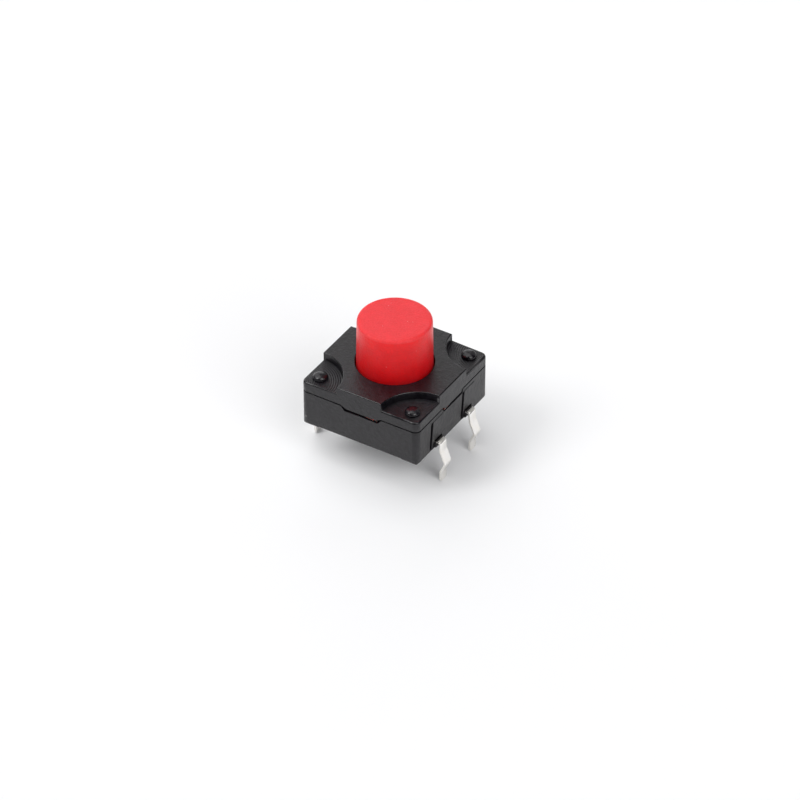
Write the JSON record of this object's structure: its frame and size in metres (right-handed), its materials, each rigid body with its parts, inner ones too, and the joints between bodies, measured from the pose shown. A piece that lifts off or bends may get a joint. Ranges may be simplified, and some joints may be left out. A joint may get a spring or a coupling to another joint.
{
  "type": "tactile push button switch",
  "caption": "Square push button switch with a tall round silicone button, a riveted cover with corner pockets and kinked solder pins.",
  "frame": {"origin": "centre of the outline at the level of the pin tips that the switch stands on", "axes": "+Z along the button's axis, upwards; +X towards one of the two sides that the pins leave; +Y along the other pair of sides"},
  "size_m": [0.0142, 0.012, 0.0134],
  "materials": {
    "black_plastic": "fine moulded, satin",
    "red_silicone": "matt moulded silicone",
    "conductive_rubber": "matt carbon-filled silicone",
    "silver_plate": "silver plated, satin"
  },
  "bodies": {
    "housing": {"base": "black_plastic", "cover": "black_plastic", "button_skirt": "red_silicone", "terminal_front": "silver_plate", "terminal_rear": "silver_plate"},
    "button": {"button": "red_silicone", "contact_pill": "conductive_rubber"}
  },
  "joints": [
    {"name": "button_press", "type": "slide", "parent": "housing", "child": "button", "axis": [0, 0, -1], "range_m": [0, 0.0012], "stiffness_N_per_m": 1500, "deforming": ["button_skirt"]}
  ]
}
